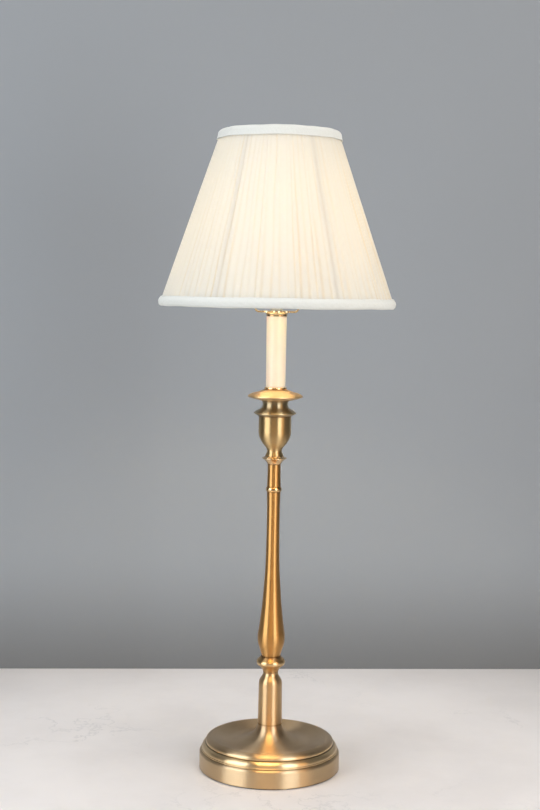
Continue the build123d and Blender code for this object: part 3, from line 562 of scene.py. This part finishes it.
# %% The pleated cover
pleats = 96
columns_per_pleat = 10
cover_rows = 46
cover_thickness = 0.00055
draw = random.Random(7)
pleat_shift = [draw.uniform(-0.28, 0.28) for _ in range(pleats)]
pleat_strength = [draw.uniform(0.25, 1.0) for _ in range(pleats)]
pleat_wander = [(draw.uniform(0.02, 0.11), draw.uniform(0.6, 2.0), draw.uniform(0, 2 * pi))
                for _ in range(pleats)]
pleat_fade = [draw.uniform(0.2, 1.0) for _ in range(pleats)]
pleat_swell = [(draw.uniform(0.5, 1.4), draw.uniform(0, 2 * pi)) for _ in range(pleats)]


def pleat_edge(index, share):
    """The angle, in pleats, where a pleat starts at that share of the height."""
    size, waves, start = pleat_wander[index % pleats]
    return index + pleat_shift[index % pleats] + size * sin(start + waves * 2 * pi * share)


def pleat_shape(along):
    """How far a pleat is sunk at a share of its width: deep at its root, a quick rise, a slow fall."""
    crest = 0.38
    if along < crest:
        return 0.5 + 0.5 * cos(pi * along / crest)
    return 0.5 - 0.5 * cos(pi * (along - crest) / (1 - crest))


rib_count = 6
rib_shadow = 0.0030
rib_strength = 0.4
overlap_middle = 0.15
overlap_width = 0.17
least_fold = 0.25


def rib_mask(angle, radius):
    """Strongest over a rib of the frame, fading out to each side of its wire."""
    step = 2 * pi / rib_count
    away = radius * abs((angle + step / 2) % step - step / 2)
    return rib_strength * exp(-(away / rib_shadow) ** 2)


outer_rings, inner_rings, outer_fold_shades, outer_ribs = [], [], [], []
for row in range(cover_rows + 1):
    share = row / cover_rows
    height = cloth_bottom + (cloth_top - cloth_bottom) * share
    depth = pleat_depth(height)
    outer, inner = [], []
    for index in range(pleats):
        start = pleat_edge(index, share)
        end = pleat_edge(index + 1, share)
        waves, phase = pleat_swell[index]
        swell = 0.7 + 0.3 * sin(phase + waves * 2 * pi * share)
        strength = pleat_strength[index] * (1 - pleat_fade[index] * share) * swell
        for column in range(columns_per_pleat):
            along = column / columns_per_pleat
            angle = 2 * pi * (start + (end - start) * along) / pleats
            sunk = pleat_shape(along)
            raised = (1 - sunk) * (least_fold + (1 - least_fold) * strength)
            radius = cone_radius(height) - depth * (1 - raised)
            outer.append((radius * cos(angle), radius * sin(angle), height))
            inside = radius - cover_thickness
            inner.append((inside * cos(angle), inside * sin(angle), height))
            # The fold value marks the painted shade where a pleat's two layers overlap.
            overlap = exp(-((along - overlap_middle) / overlap_width) ** 2)
            outer_fold_shades.append(overlap * strength)
            outer_ribs.append(rib_mask(angle, radius))
    outer_rings.append(outer)
    inner_rings.append(inner)
ring_size = pleats * columns_per_pleat


def from_top(values):
    """The same values with their rows in the other order, for the inner skin."""
    rows = [values[row * ring_size:(row + 1) * ring_size] for row in range(cover_rows, -1, -1)]
    return [value for row in rows for value in row]


masks = [("fold_shade", outer_fold_shades + from_top(outer_fold_shades)), ("rib", outer_ribs + from_top(outer_ribs))]
cover = closed_skin("pleated_cover", outer_rings + inner_rings[::-1], "shade", cover_cloth,
                    masks)
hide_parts("shade_cover")

# %% [markdown]
# The lining is a plain cone that follows the ribs. It is stretched, so it stays almost flat, with short
# puckers near both rings, where it is stitched down.

# %% The lining
lining_columns = 360
lining_rows = 24
lining_thickness = 0.0004
pucker_phase = draw.uniform(0, 2 * pi)


def lining_point(turn, height, thickness):
    share = (height - cloth_bottom) / (cloth_top - cloth_bottom)
    edge = max(0.0, 1 - min(share, 1 - share) / 0.12)
    angle = 2 * pi * turn
    pucker = 0.00022 * edge * (sin(74 * angle + pucker_phase) + 0.6 * sin(31 * angle))
    hollow = 0.0010 * sin(pi * share) * (0.5 - 0.5 * cos(6 * angle))
    radius = lining_radius(height) - lining_ease - hollow + pucker - thickness
    return (radius * cos(angle), radius * sin(angle), height)


def lining_ring(height, thickness):
    return [lining_point(column / lining_columns, height, thickness) for column in range(lining_columns)]


cloth_height = cloth_top - cloth_bottom
lining_heights = [cloth_bottom + cloth_height * row / lining_rows for row in range(lining_rows + 1)]
lining_rings = [lining_ring(height, 0.0) for height in lining_heights]
lining_rings += [lining_ring(height, lining_thickness) for height in lining_heights[::-1]]
lining = closed_skin("shade_lining_cloth", lining_rings, "shade", lining_cloth)
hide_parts("shade_lining")

# %% [markdown]
# Each binding is a strip cut on the bias and folded over a ring, with its raw edges turned in. It
# covers the stitched ends of the cover and the lining. In section it is a thick rounded U. The strip
# was pulled round by hand, so its edge waves a little, and fine slanting puckers run across it.

# %% Binding sections
def smooth_line(points, steps=4):
    """More points between the given ones, on a smooth curve through them."""
    line = []
    for index in range(len(points) - 1):
        before = points[max(index - 1, 0)]
        here, there = points[index], points[index + 1]
        after = points[min(index + 2, len(points) - 1)]
        for step in range(steps):
            t = step / steps
            line.append(tuple(
                0.5 * (2 * h + (n - b) * t + (2 * b - 5 * h + 4 * n - a) * t * t
                       + (3 * h - b - 3 * n + a) * t ** 3)
                for b, h, n, a in zip(before, here, there, after)))
    line.append(points[-1])
    return line


def binding(name, section, columns, wave, pucker, node):
    """Sweeps a closed section round the lamp. Points on its cloth side carry puckers."""
    rings = []
    phase = draw.uniform(0, 2 * pi)
    for radius, height, free in section:
        ring = []
        for column in range(columns):
            angle = 2 * pi * column / columns
            sway = wave * (sin(7 * angle + phase) + 0.6 * sin(17 * angle + 2 * phase))
            slant = 900 * height
            ripple = pucker * (sin(96 * angle + slant) + 0.7 * sin(41 * angle - slant + phase))
            r = radius + free * ripple
            ring.append((r * cos(angle), r * sin(angle), height + free * sway))
        rings.append(ring)
    piece = closed_skin(name, rings, "shade", binding_cloth)
    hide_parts(node)
    area = cloth_area(piece)
    print(name, round(area, 4), "square metres")


def u_section(outside, inside):
    """One closed section from the cloth's outer line and, back again, its inner line."""
    out = [(r, z, 1.0) for r, z in smooth_line(outside)]
    back = [(r, z, 0.0) for r, z in smooth_line(inside)]
    return out + back


def inner_edge(height):
    return lining_radius(height) - lining_ease - lining_thickness


bottom_end = shade_bottom + 0.0128
bottom_mouth = bottom_end - 0.0006
rim = cone_radius(bottom_end)
bottom_outside = [
    (rim + 0.0002, bottom_end), (rim + 0.0013, bottom_end + 0.0001), (rim + 0.0021, bottom_end - 0.0012),
    (0.1533, shade_bottom + 0.0094), (0.1540, shade_bottom + 0.0074), (0.1539, shade_bottom + 0.0050),
    (0.1533, shade_bottom + 0.0027), (0.1519, shade_bottom + 0.0009), (0.1497, shade_bottom + 0.0001),
    (0.1474, shade_bottom + 0.0007), (0.1456, shade_bottom + 0.0024), (0.1449, shade_bottom + 0.0052),
    (inner_edge(bottom_end) - 0.0013, bottom_end - 0.0020), (inner_edge(bottom_end) - 0.0009, bottom_end),
]
bottom_inside = [
    (inner_edge(bottom_end) - 0.0001, bottom_end),
    (inner_edge(bottom_mouth - 0.004) - 0.0002, bottom_mouth - 0.004),
    (0.1473, shade_bottom + 0.0046), (0.1475, shade_bottom + 0.0018), (0.1497, shade_bottom + 0.0012),
    (0.1514, shade_bottom + 0.0020), (cone_radius(shade_bottom + 0.0046) - 0.0008, shade_bottom + 0.0046),
    (cone_radius(bottom_mouth - 0.003) + 0.0001, bottom_mouth - 0.003), (rim + 0.0001, bottom_mouth),
]
binding("bottom_binding", u_section(bottom_outside, bottom_inside), columns=480, wave=0.00025,
        pucker=0.00012, node="shade_bottom_trim")

# %% Top binding
top_height = shade_bottom + shade_height
top_end = top_height - 0.0126
top_mouth = top_end + 0.0006
top_rim = cone_radius(top_end)
top_outside = [
    (inner_edge(top_end) - 0.0009, top_end), (inner_edge(top_end) - 0.0014, top_end + 0.0020),
    (0.0708, top_height - 0.0062), (0.0706, top_height - 0.0030), (0.0717, top_height - 0.0008),
    (0.0735, top_height), (0.0757, top_height - 0.0004), (0.0777, top_height - 0.0016),
    (0.0792, top_height - 0.0037), (0.0798, top_height - 0.0066), (top_rim + 0.0005, top_end + 0.0018),
    (top_rim + 0.0010, top_end + 0.0001), (top_rim + 0.0001, top_end),
]
top_inside = [
    (top_rim + 0.0001, top_mouth), (cone_radius(top_mouth + 0.004) + 0.0001, top_mouth + 0.004),
    (0.0763, top_height - 0.0044), (0.0757, top_height - 0.0014), (0.0741, top_height - 0.0010),
    (0.0724, top_height - 0.0014), (0.0720, top_height - 0.0034),
    (inner_edge(top_mouth + 0.003) - 0.0002, top_mouth + 0.003), (inner_edge(top_end) - 0.0001, top_mouth),
]
binding("top_binding", u_section(top_outside, top_inside), columns=360, wave=0.0002,
        pucker=0.00009, node="shade_top_trim")

# %% [markdown]
# ## The felt
# A disc of felt keeps the base from scratching the table. Its cut edge is soft and a little ragged.
# It is a flat skin with a rounded edge, and its fuzz is bump and sheen.

# %% Felt pad
felt_material, tree, shader = new_material(
    "pressed_felt", Roughness=0.95, Sheen_Weight=0.6, Sheen_Roughness=0.6)
place, radius, height, turns = cylinder_coordinates(tree)
fibres = noise(tree, place, 900.0, 6.0, 0.75)
tree.links.new(blend_colours(tree, fibres, (0.012, 0.016, 0.013, 1), (0.05, 0.06, 0.05, 1)),
               shader.inputs["Base Color"])
bump(tree, shader, fibres, 0.0004)

felt_low, felt_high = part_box("felt_pad")
felt_radius = felt_high.x
felt_columns = 240
felt_rings = []
felt_section = [
    (0.004, felt_low.z), (0.5 * felt_radius, felt_low.z), (felt_radius - 0.0008, felt_low.z),
    (felt_radius - 0.0001, 0.0004), (felt_radius, 0.0008), (felt_radius - 0.0003, 0.0013),
    (felt_radius - 0.0010, felt_high.z), (0.5 * felt_radius, felt_high.z), (0.004, felt_high.z),
]
rag = [draw.uniform(-0.00015, 0.00015) for _ in range(felt_columns)]
for radius, height in felt_section:
    edge = 1.0 if radius > 0.9 * felt_radius else 0.0
    ring = []
    for column in range(felt_columns):
        angle = 2 * pi * column / felt_columns
        r = radius + edge * rag[column]
        ring.append((r * cos(angle), r * sin(angle), height))
    felt_rings.append(ring)
felt = closed_skin("felt_disc", felt_rings, "stand", felt_material)
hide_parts("felt_pad")

# %% [markdown]
# ## Table, wall and lights
# The lamp stands on a pale stone table in front of a grey wall. The wall is seen only from the lamp's
# side, so that it hides nothing when the lamp is looked at from behind. Metal has no colour of its own
# beyond a tint: it shows the room. So the table and the wall are painted dark away from the lamp, a
# painted falloff of light that lies mostly outside the picture, and the brass mirrors those dark parts.

# %% Table and wall
def flat_stage(name, corners, material):
    mesh = bpy.data.meshes.new(name)
    mesh.from_pydata(corners, [], [(0, 1, 2, 3)])
    mesh.materials.append(material)
    made = bpy.data.objects.new(name, mesh)
    bpy.context.scene.collection.objects.link(made)
    return made


table_material, tree, shader = new_material("pale_stone", Roughness=0.42, Specular_IOR_Level=0.3)
place, away, height, turns = cylinder_coordinates(tree)
clouding = ramp_between(tree, noise(tree, place, 5.0, 6.0, 0.6), 0.35, 0.7)
stone = blend_colours(tree, clouding, (0.83, 0.80, 0.79, 1), (0.77, 0.74, 0.73, 1))
crack = sum_up(tree, "ABSOLUTE", sum_up(tree, "SUBTRACT", noise(tree, place, 7.0, 7.0, 0.62), 0.5))
vein = sum_up(tree, "SUBTRACT", 1.0, ramp_between(tree, crack, 0.0, 0.012))
vein = sum_up(tree, "MULTIPLY", vein, ramp_between(tree, noise(tree, place, 3.2), 0.52, 0.68))
stone = blend_colours(tree, sum_up(tree, "MULTIPLY", vein, 0.45), stone, (0.50, 0.50, 0.51, 1))
# Painted falloff of light: the stone is painted dark away from the lamp.
stone = blend_colours(tree, ramp_between(tree, away, 0.3, 1.3), stone, (0.20, 0.195, 0.19, 1))
tree.links.new(stone, shader.inputs["Base Color"])
half_table = 4.0
flat_stage("table", [(-half_table, -half_table, 0), (half_table, -half_table, 0),
                     (half_table, half_table, 0), (-half_table, half_table, 0)], table_material)

wall_material, tree, shader = new_material("grey_wall", Roughness=0.9)
place = add_node(tree, "ShaderNodeTexCoord").outputs["Object"]
x, y, height = add_node(tree, "ShaderNodeSeparateXYZ", {0: place}).outputs
# Painted shade: the wall is painted darker near its foot, where it meets the table.
out_of_foot_shade = ramp_between(tree, height, -0.03, 0.21)
grey = blend_colours(tree, out_of_foot_shade, (0.158, 0.164, 0.168, 1), (0.285, 0.308, 0.330, 1))
# Painted falloff of light: the wall is painted dark towards its sides.
side_falloff = ramp_between(tree, sum_up(tree, "ABSOLUTE", x), 0.5, 1.2)
tree.links.new(blend_colours(tree, side_falloff, grey, (0.06, 0.06, 0.06, 1)), shader.inputs["Base Color"])
back = add_node(tree, "ShaderNodeNewGeometry").outputs["Backfacing"]
clear = add_node(tree, "ShaderNodeBsdfTransparent").outputs[0]
one_sided = add_node(tree, "ShaderNodeMixShader", {0: back, 1: shader.outputs[0], 2: clear})
tree.links.new(one_sided.outputs[0], tree.nodes["Material Output"].inputs["Surface"])
wall_depth = 0.495
wall_half = 2.0
wall_turn = 0.0646
wall_height = 1.8
left_end, right_end = [(side * wall_half, wall_depth + side * wall_half * wall_turn) for side in (-1, 1)]
wall_corners = [(*left_end, 0), (*right_end, 0), (*right_end, wall_height), (*left_end, wall_height)]
wall = flat_stage("wall", wall_corners, wall_material)
wall.visible_shadow = False

# %% [markdown]
# Two tall softboxes stand to the left and the right of the camera's direction. Because they are tall,
# they make even stripes down the whole stem, with a brown stripe between them where the brass shows
# the dark room behind the camera. A narrow warm panel lights the right edges. Two warm glows give the
# orange fan on the dish: one behind the camera, and one high over the front of the lamp. The side fill
# and the large top light only soften the shadows. The brass doesn't mirror them, because that would
# turn it pale.

# %% Softboxes and room light
daylight = (0.96, 1.0, 1.05)


def softbox(name, azimuth, distance, middle, width, tall, power, colour=daylight, aim=None):
    """A rectangular light. Its azimuth is in degrees from the camera's direction, and it faces the
    lamp's axis at the height aim, or straight across."""
    data = bpy.data.lights.new(name, "AREA")
    data.shape = "RECTANGLE"
    data.size, data.size_y = width, tall
    data.energy = power
    data.color = colour
    made = bpy.data.objects.new(name, data)
    bpy.context.scene.collection.objects.link(made)
    made.location = (distance * sin(radians(azimuth)), -distance * cos(radians(azimuth)), middle)
    target = Vector((0, 0, middle if aim is None else aim))
    made.rotation_euler = (target - made.location).to_track_quat("-Z", "Y").to_euler()
    made.visible_camera = False
    return made


softbox("left_softbox", azimuth=-57, distance=1.6, middle=1.0, width=1.12, tall=1.9, power=22.5)
softbox("right_softbox", azimuth=35, distance=1.6, middle=1.0, width=0.70, tall=1.9, power=16.0)
softbox("warm_panel", azimuth=57, distance=1.7, middle=0.9, width=0.5, tall=1.6, power=3.8,
        colour=(1.0, 0.62, 0.30))
softbox("room_glow", azimuth=-8, distance=2.6, middle=1.4, width=1.1, tall=2.2, power=2.2,
        colour=(1.0, 0.54, 0.22))
ceiling_glow = softbox("ceiling_glow", azimuth=-4, distance=0.85, middle=2.0, width=1.00, tall=1.0,
                       power=27.0, colour=(1.0, 0.67, 0.32), aim=0.05)
ceiling_glow.visible_diffuse = False
side_fill = softbox("side_fill", azimuth=82, distance=1.9, middle=0.9, width=1.0, tall=1.4, power=9.0,
                    colour=(1.0, 0.97, 0.93))
side_fill.visible_glossy = False

top_data = bpy.data.lights.new("top_softbox", "AREA")
top_data.shape = "RECTANGLE"
top_data.size, top_data.size_y = 3.0, 2.4
top_data.energy = 60.0
top_box = bpy.data.objects.new("top_softbox", top_data)
bpy.context.scene.collection.objects.link(top_box)
top_box.location = (0, -0.3, 4.0)
top_box.visible_camera = False
top_box.visible_glossy = False

world = bpy.data.worlds.new("room")
bpy.context.scene.world = world
world.use_nodes = True
room_light = world.node_tree.nodes["Background"]
room_light.inputs["Color"].default_value = (0.11, 0.111, 0.113, 1)
room_light.inputs["Strength"].default_value = 1.0
bpy.context.scene.view_settings.view_transform = "Standard"
lights = [piece for piece in bpy.context.scene.objects if piece.type == "LIGHT"]
print("lights:", ", ".join(f"{light.name} {light.data.energy:.1f} W" for light in lights))

bpy.context.view_layer.update()
